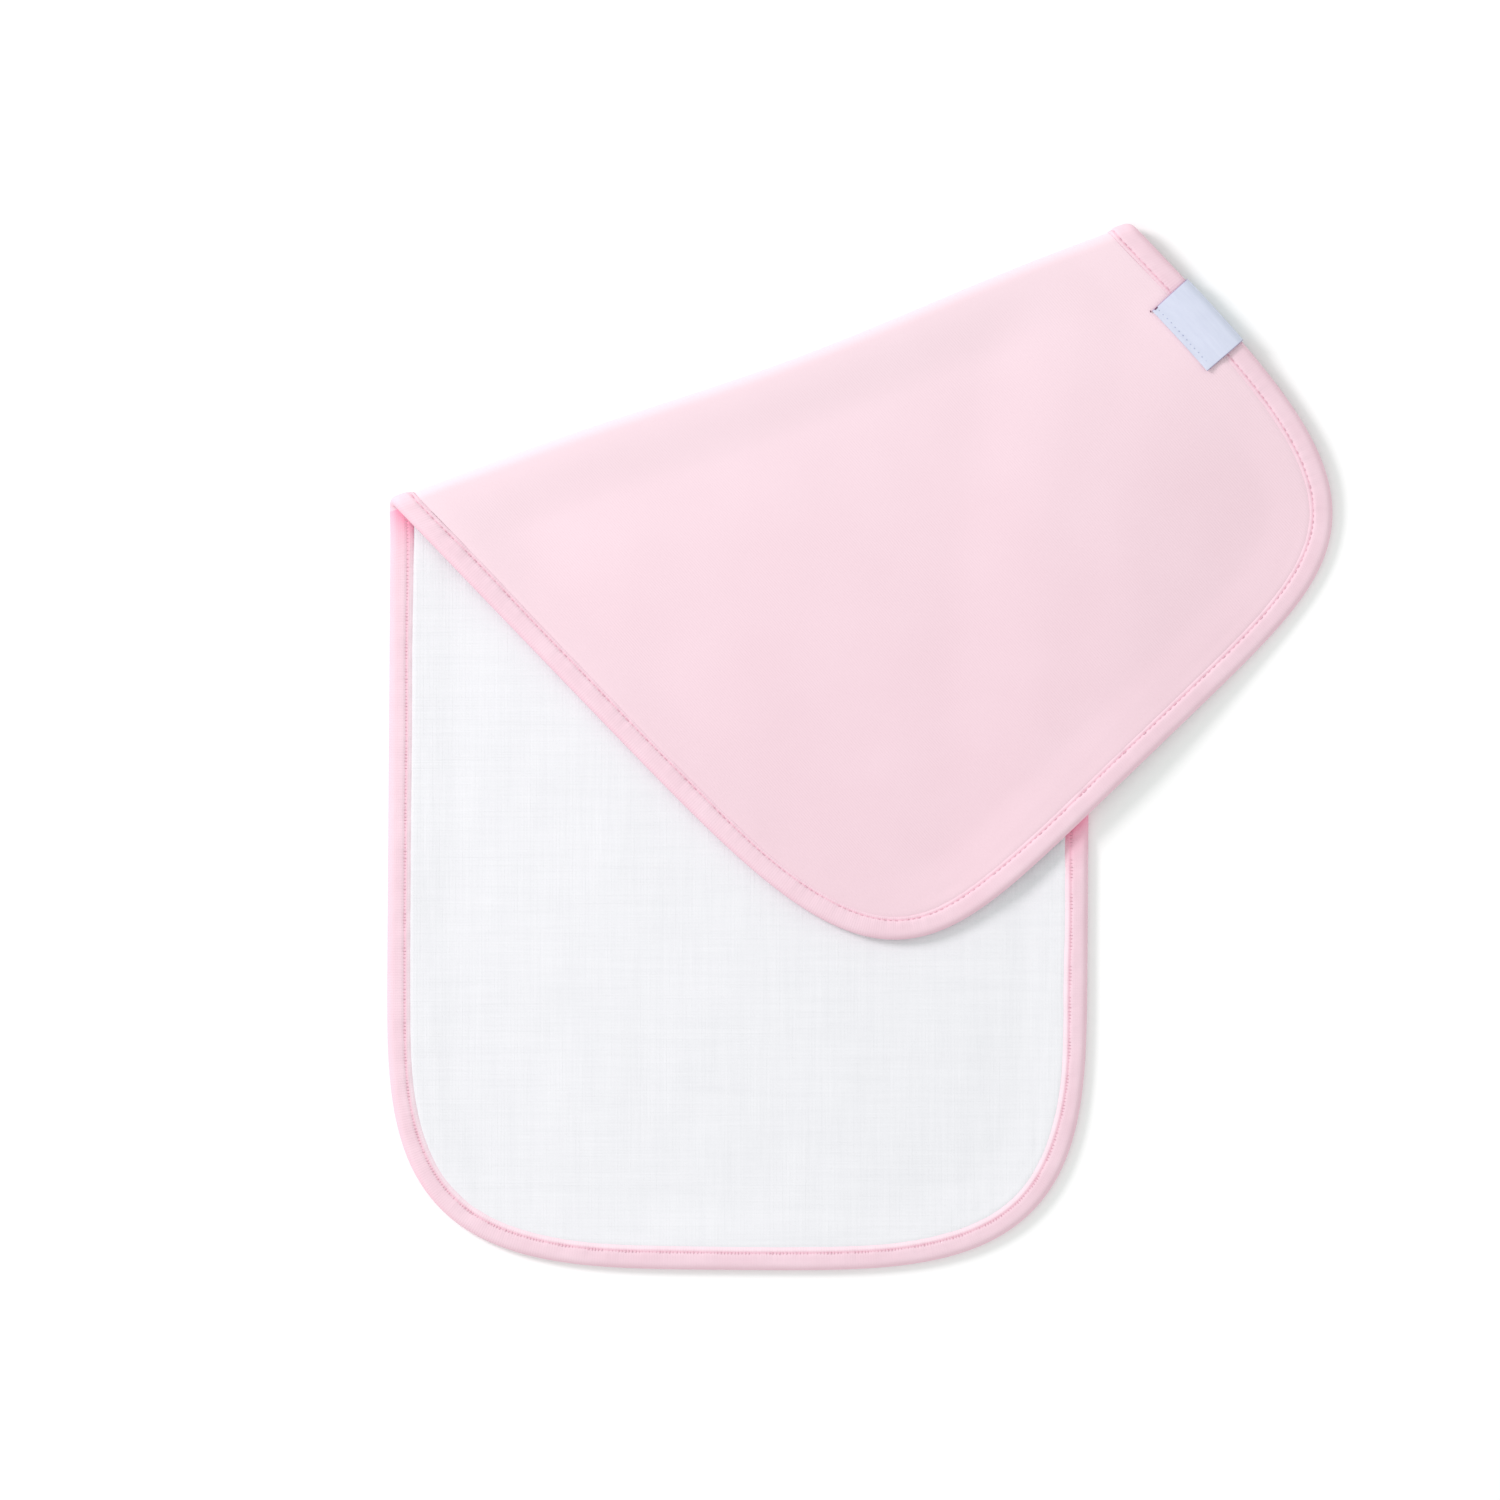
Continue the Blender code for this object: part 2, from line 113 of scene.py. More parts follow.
# Key light: distance from the cloth's middle, height and bearing over the floor, and power
KEY_DISTANCE = 2.0
KEY_ELEVATION = math.radians(34.0)
KEY_BEARING = math.radians(150.0)
KEY_POWER = 22.5
KEY_SIZE = 0.65
KEY_COLOUR = (1.0, 0.912, 0.954)

# Surroundings and floor: light from all round, and the white sheet just under the cloth
WORLD_COLOUR = (0.958, 1.0, 0.979, 1.0)
WORLD_STRENGTH = 0.87
FLOOR_COLOUR = (0.97, 0.97, 0.97, 1.0)
FLOOR_HALF = 6.0
FLOOR_DROP = 0.02 * MM

SLOPE_STEP = 0.1 * MM
NORMAL_STEP = 1.5 * MM
GRID_STEP = 1.5 * MM
SEED = 7

# Painted light: the knitted face is drawn paler near the crease as a painted highlight: how far, how it
# fades, how much, and the colour
PAINTED_LIGHT_REACH = 170.0 * MM
PAINTED_LIGHT_POWER = 1.6
PAINTED_LIGHT_SHARE = 0.5
PAINTED_LIGHT_PINK = (0.900, 0.735, 0.790)

# Colours of the tape: deeper pink as painted shade at its fold, seams and inner edge, deeper pink as
# painted shade where the lower half's tape lies under the flap's edge, and a paler band beside the gauze
PAINTED_SHADE_PINK = (0.840, 0.455, 0.560)
UNDER_FLAP_SHADE_PINK = (0.920, 0.330, 0.480)
PALE_PINK = (0.920, 0.790, 0.845)
FOLD_REACH = 3.0 * MM
SEAM_REACH = 0.6 * MM
FOLD_SHARE = 0.5
RIM_SHARE = 0.6
SEAM_SHARE = 0.6
BAND_SHARE = 0.5
RIM_SHARPNESS = 900.0
BAND_SHARPNESS = 1600.0


# Smooth step from 0 to 1
def ease(value):
    x = np.clip(value, 0.0, 1.0)
    return x * x * (3.0 - 2.0 * x)


def unit(vector):
    return vector / np.linalg.norm(vector)


def bend_radius(s):
    share = np.clip((s + CREASE_HALF) / (2.0 * CREASE_HALF), 0.0, 1.0)
    return BEND_LEFT + (BEND_RIGHT - BEND_LEFT) * share


# Plan position of crease coordinates, and the reverse
def to_plan(s, t):
    cos_a = math.cos(CREASE_ANGLE)
    sin_a = math.sin(CREASE_ANGLE)
    return CREASE_MIDDLE[0] + s * cos_a - t * sin_a, CREASE_MIDDLE[1] + s * sin_a + t * cos_a


def to_crease(x, y):
    cos_a = math.cos(CREASE_ANGLE)
    sin_a = math.sin(CREASE_ANGLE)
    dx = x - CREASE_MIDDLE[0]
    dy = y - CREASE_MIDDLE[1]
    return dx * cos_a + dy * sin_a, dy * cos_a - dx * sin_a


# One rounded end with its two sides, in crease coordinates
def end_curve(end):
    angle = np.linspace(0.0, math.pi, 1600)
    power = 2.0 / end["power"]
    u = end["half"] * np.sign(np.cos(angle)) * np.abs(np.cos(angle)) ** power
    v = end["corner"] * np.abs(np.sin(angle)) ** power
    back = np.linspace(-SIDE_LENGTH, 0.0, 200)[:-1]
    u = np.concatenate([np.full(back.size, end["half"]), u, np.full(back.size, -end["half"])])
    v = np.concatenate([back, v, back[::-1]])
    along = (math.cos(end["angle"]), math.sin(end["angle"]))
    x = end["centre"][0] + v * along[0] - u * along[1]
    y = end["centre"][1] + v * along[1] + u * along[0]
    return to_crease(x, y)


# Cubic that leaves one point along one direction and reaches another along another
def bridge(start, start_dir, stop, stop_dir):
    k = np.linspace(0.0, 1.0, 120)[:, None]
    reach = np.linalg.norm(stop - start)
    a = (2 * k ** 3 - 3 * k ** 2 + 1) * start + (k ** 3 - 2 * k ** 2 + k) * reach * start_dir
    b = (3 * k ** 2 - 2 * k ** 3) * stop + (k ** 3 - k ** 2) * reach * stop_dir
    return a + b


# Closed outline of the unrolled cloth, anticlockwise from the right end of the crease
def unrolled_outline():
    s, t = end_curve(LOWER_END)
    keep = t < np.where(s > 0.0, -JOIN_RIGHT, -JOIN_LEFT)
    lower = np.stack([s[keep], t[keep]], axis=1)[::-1]
    s, t = end_curve(FLAP_END)
    keep = t < -bend_radius(s)
    flap = np.stack([s[keep], (math.pi - 2.0) * bend_radius(s[keep]) - t[keep]], axis=1)
    right = bridge(lower[-1], unit(lower[-1] - lower[-3]), flap[0], unit(flap[2] - flap[0]))
    left = bridge(flap[-1], unit(flap[-1] - flap[-3]), lower[0], unit(lower[2] - lower[0]))
    apex = int(np.argmax(right[:, 1] > 0.0))
    return np.concatenate([right[apex:-1], flap, left[1:-1], lower, right[1:apex + 1]])


# Points and outward normals of a closed line at given lengths along it
class Edge:
    def __init__(self, points):
        self.points = points
        step = np.linalg.norm(np.diff(points, axis=0), axis=1)
        self.length = np.concatenate([[0.0], np.cumsum(step)])
        self.total = self.length[-1]

    def at(self, length):
        where = np.mod(length, self.total)
        return np.stack([np.interp(where, self.length, self.points[:, i]) for i in (0, 1)], axis=-1)

    def normal(self, length):
        ahead = self.at(length + NORMAL_STEP) - self.at(length - NORMAL_STEP)
        ahead = ahead / np.linalg.norm(ahead, axis=-1, keepdims=True)
        return np.stack([ahead[..., 1], -ahead[..., 0]], axis=-1)

    # Unrolled direction into the cloth: square to the edge, but along the crease near the bend
    def inward(self, length):
        normal = self.normal(length)
        q = self.at(length)[..., 1]
        middle = (math.pi / 2 - 1.0) * MEAN_BEND
        share = 1.0 - ease((np.abs(q - middle) - BEND_SKEW) / BEND_SKEW)
        row = np.stack([1.0 / normal[..., 0], np.zeros(q.shape)], axis=-1)
        share = np.where(np.abs(normal[..., 0]) < 0.5, 0.0, share)[..., None]
        return -(normal * (1.0 - share) + np.where(share > 0.0, row, 0.0) * share)

    def inset(self, depth):
        length = np.linspace(0.0, self.total, 2400)
        return self.at(length) - self.normal(length) * depth


OUTLINE = Edge(unrolled_outline())
LIFT_MIDDLE = OUTLINE.at(LIFT_PLACE)


# How far the hidden stretch of the lower half's right side leans out
def right_lean():
    search = np.linspace(OUTLINE.total - JOIN_SEARCH, OUTLINE.total, 400)
    points = OUTLINE.at(search)
    points = points[points[:, 1] < 0.0]
    x, y = to_plan(points[:, 0], points[:, 1])
    along = (math.cos(LOWER_END["angle"]), math.sin(LOWER_END["angle"]))
    across = (y - LOWER_END["centre"][1]) * along[0] - (x - LOWER_END["centre"][0]) * along[1]
    places = np.linspace(-JOIN_RIGHT, 0.0, 30)
    return places, np.interp(places, points[:, 1], across - LOWER_END["half"])


LEAN_T, LEAN_OUT = right_lean()


# Distances from the edge on a regular grid over the unrolled cloth
def distance_grid():
    coarse = OUTLINE.at(np.linspace(0.0, OUTLINE.total, 500))
    start = coarse[:-1]
    run = coarse[1:] - start
    square = (run ** 2).sum(axis=1)
    low = coarse.min(axis=0) - 4 * GRID_STEP
    size = np.ceil((coarse.max(axis=0) + 4 * GRID_STEP - low) / GRID_STEP).astype(int) + 1
    s = low[0] + GRID_STEP * np.arange(size[0])
    table = np.empty((size[1], size[0]))
    for j in range(size[1]):
        point = np.stack([s, np.full(s.shape, low[1] + GRID_STEP * j)], axis=1)
        away = point[:, None, :] - start[None, :, :]
        share = np.clip((away * run).sum(axis=2) / square, 0.0, 1.0)
        gap = away - share[..., None] * run
        table[j] = np.sqrt((gap ** 2).sum(axis=2).min(axis=1))
    return low, table


GRID_LOW, GRID = distance_grid()


def edge_distance(s, q):
    i = np.clip((s - GRID_LOW[0]) / GRID_STEP, 0.0, GRID.shape[1] - 1.001)
    j = np.clip((q - GRID_LOW[1]) / GRID_STEP, 0.0, GRID.shape[0] - 1.001)
    i0 = i.astype(int)
    j0 = j.astype(int)
    u = i - i0
    v = j - j0
    below = GRID[j0, i0] * (1 - u) + GRID[j0, i0 + 1] * u
    above = GRID[j0 + 1, i0] * (1 - u) + GRID[j0 + 1, i0 + 1] * u
    return below * (1 - v) + above * v


# Extra height of the middle surface near the edge, where the tape lies under it
def edge_rise(depth):
    return EDGE_RISE * (1.0 - ease((depth - TAPE_WIDTH - TAPE_CLEAR) / EDGE_RAMP))


# Distance inside the lower half's sides, in plan
def inside_lower(s, t):
    x, y = to_plan(s, t)
    along = (math.cos(LOWER_END["angle"]), math.sin(LOWER_END["angle"]))
    across = (y - LOWER_END["centre"][1]) * along[0] - (x - LOWER_END["centre"][0]) * along[1]
    lean = np.interp(t, LEAN_T, LEAN_OUT)
    return LOWER_END["half"] - np.where(across > 0.0, across - lean, -across)


# Height of the flap's middle surface over what lies under it, without its own tape
def flap_level(s, t, q):
    inside = inside_lower(s, t)
    on_face = 2 * HALF_STACK + LAYER_GAP + HALF_STACK
    on_tape = 2 * HALF_BOUND + LAYER_GAP + HALF_STACK
    rise_end = TAPE_WIDTH + SIDE_MARGIN
    level = on_face + (on_tape - on_face) * ease((rise_end + BINDING_RAMP - inside) / BINDING_RAMP)
    fall = ease((-SIDE_MARGIN - inside) / DROP)
    level = level + (HALF_STACK - on_tape) * fall
    far = np.hypot(s - LIFT_MIDDLE[0], q - LIFT_MIDDLE[1])
    return level + LIFT * (1.0 - ease((far - LIFT_FLAT) / (LIFT_REACH - LIFT_FLAT)))


# Middle surface of the folded cloth at unrolled coordinates
def middle_surface(s, q):
    radius = bend_radius(s)
    bend_end = (math.pi - 1.0) * radius
    angle = np.clip((q + radius) / radius, 0.0, math.pi)
    rise = edge_rise(edge_distance(s, q))
    low = HALF_STACK + rise
    t = np.where(q > -radius, -radius + radius * np.sin(angle) - np.maximum(q - bend_end, 0.0), q)
    top = low + 2.0 * radius
    level = flap_level(s, t, q) + rise
    settle = ease((q - bend_end) / SHOULDER)
    z = low + radius * (1.0 - np.cos(angle))
    z = np.where(q > bend_end, top + (level - top) * settle, z)
    away = np.abs(q - (math.pi / 2 - 1.0) * radius)
    sag = CREASE_SAG * (1.0 - ease(np.abs(s - SAG_MIDDLE) / SAG_REACH))
    t = t - sag * (1.0 - ease(away / CREASE_REACH))
    x, y = to_plan(s, t)
    return np.stack([x, y, z], axis=-1)


# Folded position of a point that stands off the middle surface towards the gauze side
def folded(s, q, off):
    s, q, off = np.broadcast_arrays(s, q, off)
    along = middle_surface(s + SLOPE_STEP, q) - middle_surface(s - SLOPE_STEP, q)
    across = middle_surface(s, q + SLOPE_STEP) - middle_surface(s, q - SLOPE_STEP)
    normal = np.cross(along, across)
    normal = normal / np.linalg.norm(normal, axis=-1, keepdims=True)
    return middle_surface(s, q) + normal * off[..., None]


# Values from start to stop whose steps follow a density
def spaced(start, stop, density):
    fine = np.linspace(start, stop, 8001)
    weight = density(fine)
    total = np.concatenate([[0.0], np.cumsum((weight[1:] + weight[:-1]) / 2 * np.diff(fine))])
    count = int(math.ceil(total[-1]))
    return np.interp(np.linspace(0.0, total[-1], count + 1), total, fine)


# Soft unevenness from a few seeded waves with lengths near the given one, from -1 to 1
def waves(x, y, length, seed, count=9):
    chance = np.random.default_rng(seed)
    total = np.zeros(np.shape(x))
    for _ in range(count):
        angle = chance.uniform(0.0, 2.0 * math.pi)
        size = length * chance.uniform(0.7, 1.5)
        phase = chance.uniform(0.0, 2.0 * math.pi)
        total = total + np.sin(2 * math.pi * (x * math.cos(angle) + y * math.sin(angle)) / size + phase)
    return total / math.sqrt(2.0 * count)


# Uneven value along a closed line, from about -1 to 1
def uneven(length, period, seed, count=8):
    chance = np.random.default_rng(seed)
    total = np.zeros(np.shape(length))
    turns = OUTLINE.total / period
    for _ in range(count):
        cycles = max(1, round(turns * chance.uniform(0.65, 1.45)))
        phase = chance.uniform(0.0, 2.0 * math.pi)
        total = total + np.sin(2 * math.pi * cycles * length / OUTLINE.total + phase)
    return total / math.sqrt(2.0 * count)


# Left and right ends of each row inside an inset outline
def row_ends(outline, rows):
    start = outline[:-1]
    stop = outline[1:]
    ends = []
    for q in rows:
        cross = (start[:, 1] - q) * (stop[:, 1] - q) <= 0.0
        cross &= start[:, 1] != stop[:, 1]
        share = (q - start[cross, 1]) / (stop[cross, 1] - start[cross, 1])
        s = start[cross, 0] + share * (stop[cross, 0] - start[cross, 0])
        ends.append((s.min(), s.max()))
    return np.array(ends)


# Columns of a row as shares of its width: close near both edges, where the seam draws it
def column_shares(near=34, middle=80, edge=0.16):
    left = np.linspace(0.0, edge, near)[:-1]
    inner = np.linspace(edge, 1.0 - edge, middle)
    return np.concatenate([left, inner, 1.0 - left[::-1]])


# Distance of a face's outer side from the middle surface: less under the tape
def face_side(depth):
    bound = ease((depth - TAPE_WIDTH + 1.2 * MM) / (1.2 * MM))
    return GAP / 2 + FACE_BOUND + (FACE - FACE_BOUND) * bound


def add_object(name, mesh, material):
    obj = bpy.data.objects.new(name, mesh)
    bpy.context.scene.collection.objects.link(obj)
    mesh.materials.append(material)
    for polygon in mesh.polygons:
        polygon.use_smooth = True
    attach(obj, "root")
    return obj


# Mesh with a UV layer that holds each point's place in metres
def make_mesh(name, verts, faces, places):
    mesh = bpy.data.meshes.new(name)
    mesh.from_pydata(verts.tolist(), [], faces)
    mesh.update()
    layer = mesh.uv_layers.new(name="weave")
    index = np.empty(len(mesh.loops), dtype=np.int32)
    mesh.loops.foreach_get("vertex_index", index)
    layer.data.foreach_set("uv", places[index].astype(np.float32).ravel())
    return mesh


# Unrolled coordinates turned into the lower half's own directions
def weave_place(s, q):
    cos_a = math.cos(CREASE_ANGLE)
    sin_a = math.sin(CREASE_ANGLE)
    return np.stack([s * cos_a - q * sin_a, s * sin_a + q * cos_a], axis=-1)


def recalc_normals(mesh):
    bm = bmesh.new()
    bm.from_mesh(mesh)
    bmesh.ops.recalc_face_normals(bm, faces=bm.faces)
    bm.to_mesh(mesh)
    bm.free()


# One face of the cloth as a closed thin solid; relief adds height to its outer side
def make_face(name, side, relief, material):
    outline = OUTLINE.inset(TAPE + GAP)
    low = outline[:, 1].min() + 0.1 * MM
    high = outline[:, 1].max() - 0.1 * MM

    def density(q):
        bend = (q > -1.5 * MEAN_BEND) & (q < (math.pi - 0.5) * MEAN_BEND)
        near = np.minimum(q - low, high - q) < 14.0 * MM
        value = np.where(near, 1.0 / (1.0 * MM), 1.0 / (1.9 * MM))
        return np.where(bend, 1.0 / (0.6 * MM), value)

    rows = spaced(low, high, density)
    ends = row_ends(outline, rows)
    share = column_shares()
    s = ends[:, :1] + (ends[:, 1:] - ends[:, :1]) * share[None, :]
    q = np.repeat(rows[:, None], share.size, axis=1)
    depth = edge_distance(s, q)
    outer = folded(s, q, side * (face_side(depth) + relief(s, q, depth)))
    inner = folded(s, q, np.full(s.shape, side * GAP / 2))
    n_rows, n_cols = s.shape
    size = n_rows * n_cols
    verts = np.concatenate([outer.reshape(-1, 3), inner.reshape(-1, 3)])
    index = np.arange(size).reshape(n_rows, n_cols)
    a = index[:-1, :-1].ravel()
    b = index[:-1, 1:].ravel()
    c = index[1:, 1:].ravel()
    d = index[1:, :-1].ravel()
    if side > 0:
        top = np.stack([a, b, c, d], axis=1)
    else:
        top = np.stack([d, c, b, a], axis=1)
    rim = np.concatenate([index[0, :], index[1:, -1], index[-1, -2::-1], index[-2:0:-1, 0]])
    after = np.roll(rim, -1)
    wall = np.stack([rim, rim + size, after + size, after], axis=1)
    if side < 0:
        wall = wall[:, ::-1]
    faces = np.concatenate([top, top[:, ::-1] + size, wall]).tolist()
    place = weave_place(s, q).reshape(-1, 2)
    mesh = make_mesh(name, verts, faces, np.concatenate([place, place]))
    return add_object(name, mesh, material)


# Share of painted shade on the lower half's tape near and under the flap's edge, from 0 to 1
def under_flap_shade_values(place, verts):
    edge = OUTLINE.at(np.linspace(0.0, OUTLINE.total, 700))
    edge = edge[edge[:, 1] > 2.0 * MEAN_BEND]
    line = middle_surface(edge[:, 0], edge[:, 1])[:, :2]
    flat = verts.reshape(-1, 3)[:, :2]
    low = np.flatnonzero(place[..., 1].ravel() < -MEAN_BEND)
    values = np.zeros(len(flat))
    for part in np.array_split(low, 40):
        gap = flat[part, None, :] - line[None, :, :]
        away = np.sqrt((gap ** 2).sum(axis=2).min(axis=1))
        values[part] = np.exp(-away / UNDER_FLAP_SHADE_REACH)
    return values


# Folded points kept on or above the surface that the cloth lies on
def on_surface(s, q, off):
    points = folded(s, q, off)
    points[..., 2] = np.maximum(points[..., 2], 0.0)
    return points


# A closed section carried along stations of the edge; depth and off are tables of stations by points
def sweep(name, stations, depth, off, closed, material, slot, zero=0):
    point = OUTLINE.at(stations)
    inward = OUTLINE.inward(stations)
    place = point[:, None, :] + inward[:, None, :] * depth[..., None]
    verts = on_surface(place[..., 0], place[..., 1], off)
    count, size = depth.shape
    index = np.arange(count * size).reshape(count, size)
    first = index if closed else index[:-1]
    second = np.roll(index, -1, axis=0) if closed else index[1:]
    faces = np.stack([first, np.roll(first, -1, axis=1), np.roll(second, -1, axis=1), second], axis=-1)
    faces = faces.reshape(-1, 4).tolist()
    if not closed:
        faces.append(index[0].tolist()[::-1])
        faces.append(index[-1].tolist())
    around = np.concatenate([[0.0], np.cumsum(np.hypot(np.diff(depth[0]), np.diff(off[0])))])
    uv = np.stack(np.broadcast_arrays(stations[:, None], around[None, :] - around[zero]), axis=-1)
    mesh = make_mesh(name, verts.reshape(-1, 3), faces, uv.reshape(-1, 2))
    recalc_normals(mesh)
    # The tape carries a painted shade mask, deepest at the flap's edge
    if slot == "tape":
        layer = mesh.attributes.new("under_flap_shade", "FLOAT", "POINT")
        layer.data.foreach_set("value", under_flap_shade_values(place, verts))
    return add_object(name, mesh, material)


# Seam: depth of the stitch lines on the knitted and gauze sides, and of the tape's folded edge
SEAM_KNIT = 7.0 * MM
SEAM_GAUZE = 6.1 * MM
STITCH_PITCH = 2.5 * MM

# How much flatter the sewn tape lies than its solid, and how far the painted shade reaches on the lower
# half's tape from the flap's edge
TAPE_THIN = 0.30 * MM
UNDER_FLAP_SHADE_REACH = 5.0 * MM

# Slow wander of the tape's inner edge and its seams
DRIFT = 0.22 * MM
DRIFT_LENGTH = 70.0 * MM

# Swell of each face just inside the tape: height, distance past the tape and reach
SWELL = 0.20 * MM
SWELL_SHIFT = 0.4 * MM
SWELL_REACH = 2.4 * MM

# A thread's rings: places along it, from end to end, and their share of its thickness
THREAD_SHARES = np.array([-0.5, -0.42, -0.2, 0.0, 0.2, 0.42, 0.5])
THREAD_RADII = np.array([0.02, 0.75, 1.0, 1.05, 1.0, 0.75, 0.02])
THREAD_SIDES = 6

# Pitch of the knit's columns and loops, the gauze's two sets of threads and the tape's ribs
KNIT_COLUMN = 1.68 * MM
KNIT_LOOP = 0.62 * MM
GAUZE_WARP = 1.05 * MM
GAUZE_WEFT = 1.15 * MM
TAPE_RIB = 1.90 * MM
TAPE_ROW = 0.70 * MM

# Distances around the tape from its outer fold: to the inner edge's painted shade, each seam and the
# paler band
TAPE_RIM = 9.4 * MM
AROUND_KNIT = 8.45 * MM
AROUND_GAUZE = -7.5 * MM
AROUND_BAND = 8.0 * MM


def seam_drift(length):
    return DRIFT * uneven(length, DRIFT_LENGTH, SEED)


# Height that the seam's puff, groove and ridge give the tape at a depth from the edge
def tape_profile(depth, seam):
    puff = 0.50 * MM * np.clip(1.0 - ((depth - 3.4 * MM) / (3.9 * MM)) ** 4, 0.0, 1.0)
    groove = 0.24 * MM * np.exp(-((depth - seam) / (0.50 * MM)) ** 2)
    ridge = 0.06 * MM * np.exp(-((depth - (seam + 1.0 * MM)) / (0.45 * MM)) ** 2)
    return puff - groove + ridge


# Binding: the tape in its puffed, stitched and slightly puckered form, its hidden side shaded flat
def make_binding(material):
    stations = np.linspace(0.0, OUTLINE.total, 1301)[:-1]
    run = stations[:, None]
    out = HALF_BOUND - TAPE_THIN
    wall = HALF_BOUND - TAPE
    arc = np.radians(np.linspace(78.0, 0.0, 6))[None, :]
    flat = np.array([TAPE_WIDTH, 8.3 * MM, 7.9 * MM, 7.5 * MM, 7.2 * MM, 6.9 * MM, 6.6 * MM, 6.3 * MM,
                     6.0 * MM, 5.7 * MM, 5.2 * MM, 4.5 * MM, 3.7 * MM, 3.0 * MM])[None, :]
    drift = seam_drift(run)
    sides = []
    for seam, sign, seed in ((SEAM_GAUZE, 1.0, 21), (SEAM_KNIT, -1.0, 22)):
        pucker = uneven(run, 3.6 * MM, seed) * 0.10 * MM + uneven(run, 14.0 * MM, seed + 5) * 0.12 * MM
        share = np.exp(-((flat - seam) / (2.2 * MM)) ** 2) + 0.45
        depth = flat + drift * ease(flat / TAPE_WIDTH) + np.zeros(run.shape)
        height = out + tape_profile(flat, seam) - 0.12 * MM + pucker * share
        height[:, :1] = wall - 0.05 * MM
        height[:, 1:2] = wall + 0.14 * MM + pucker * 0.3
        height[:, 2:3] = wall + 0.34 * MM + pucker * 0.6
        sides.append((depth, sign * height))
    round_depth = 2.7 * MM - 2.7 * MM * np.cos(arc) + np.zeros(run.shape)
    round_off = (out + 0.40 * MM) * np.sin(arc) + np.zeros(run.shape)
    upper_depth, upper_off = sides[0]
    lower_depth, lower_off = sides[1]
    inside = TAPE + 0.2 * MM
    inner_depth = np.broadcast_to([TAPE_WIDTH - 0.3 * MM, inside, inside, TAPE_WIDTH - 0.3 * MM],
                                  (stations.size, 4))
    inner_off = np.broadcast_to([-wall, -wall, wall, wall], (stations.size, 4))
    depth = np.concatenate([upper_depth, round_depth, round_depth[:, -2::-1], lower_depth[:, ::-1],
                            inner_depth], axis=1)
    off = np.concatenate([upper_off, round_off, -round_off[:, -2::-1], lower_off[:, ::-1], inner_off],
                         axis=1)
    outer = upper_depth.shape[1] + arc.size - 1
    obj = sweep("binding_cloth", stations, depth, off, True, material, "tape", zero=outer)
    size = depth.shape[1]
    seen = size - inner_depth.shape[1] - 1
    for n, polygon in enumerate(obj.data.polygons):
        polygon.use_smooth = n % size < seen
    return obj


# Unrolled places and offsets of one thread: rings of points along a short line with round ends
def thread_rings(station, depth, seam, sign, size):
    radii = THREAD_RADII * size
    lifts = np.array([-0.30, -0.18, -0.02, 0.02, -0.02, -0.18, -0.30]) * MM
    angle = np.linspace(0.0, 2.0 * math.pi, THREAD_SIDES, endpoint=False)
    height = HALF_BOUND - TAPE_THIN + tape_profile(depth, seam) - 0.02 * MM + lifts
    run = np.array([station[-1] - station[0], depth[-1] - depth[0]])
    side = np.array([-run[1], run[0]]) / np.hypot(*run)
    around = radii[:, None] * np.cos(angle)[None, :]
    length = station[:, None] + side[0] * around
    inset = depth[:, None] + side[1] * around
    inset = inset + seam_drift(length) * ease(seam / TAPE_WIDTH)
    place = OUTLINE.at(length) + OUTLINE.inward(length) * inset[..., None]
    off = sign * (height[:, None] + radii[:, None] * np.sin(angle)[None, :])
    uv = np.stack(np.broadcast_arrays(length, angle[None, :] * 0.1 * MM), axis=-1)
    return place, off, uv


# Faces of a tube of rings whose first vertex has the given number
def tube_faces(base, rings, ring):
    faces = []
    for i in range(rings - 1):
        for j in range(ring):
            k = (j + 1) % ring
            faces.append((base + i * ring + j, base + i * ring + k,
                          base + (i + 1) * ring + k, base + (i + 1) * ring + j))
    faces.append(tuple(base + j for j in reversed(range(ring))))
    faces.append(tuple(base + (rings - 1) * ring + j for j in range(ring)))
    return faces


# Many threads joined into one mesh
def join_threads(name, threads, material):
    place = np.stack([thread[0] for thread in threads])
    off = np.stack([thread[1] for thread in threads])
    uv = np.stack([thread[2] for thread in threads])
    rings, ring = off.shape[1:]
    faces = []
    for n in range(len(threads)):
        faces.extend(tube_faces(n * rings * ring, rings, ring))
    points = on_surface(place[..., 0], place[..., 1], off).reshape(-1, 3)
    mesh = make_mesh(name, points, faces, uv.reshape(-1, 2))
    recalc_normals(mesh)
    return add_object(name, mesh, material)


# Stitches: short threads that dip into the seam's groove, and ticks across it on the gauze side
def make_stitches(name, seam, sign, across, material):
    chance = np.random.default_rng(SEED + int(sign))
    count = round(OUTLINE.total / STITCH_PITCH)
    pitch = OUTLINE.total / count
    threads = []
    for n in range(count):
        middle = (n + chance.uniform(-0.06, 0.06)) * pitch
        skew = chance.uniform(-0.07, 0.07) * MM
        if across:
            for half in (0.0, 0.5):
                station = middle + half * pitch + THREAD_SHARES * (0.1 * MM + skew)
                depth = seam + THREAD_SHARES * 1.15 * MM
                threads.append(thread_rings(station, depth, seam, sign, 0.11 * MM))
        else:
            station = middle + THREAD_SHARES * 0.74 * pitch
            depth = seam + 2.0 * skew * THREAD_SHARES
            threads.append(thread_rings(station, depth, seam, sign, 0.12 * MM))
    return join_threads(name, threads, material)


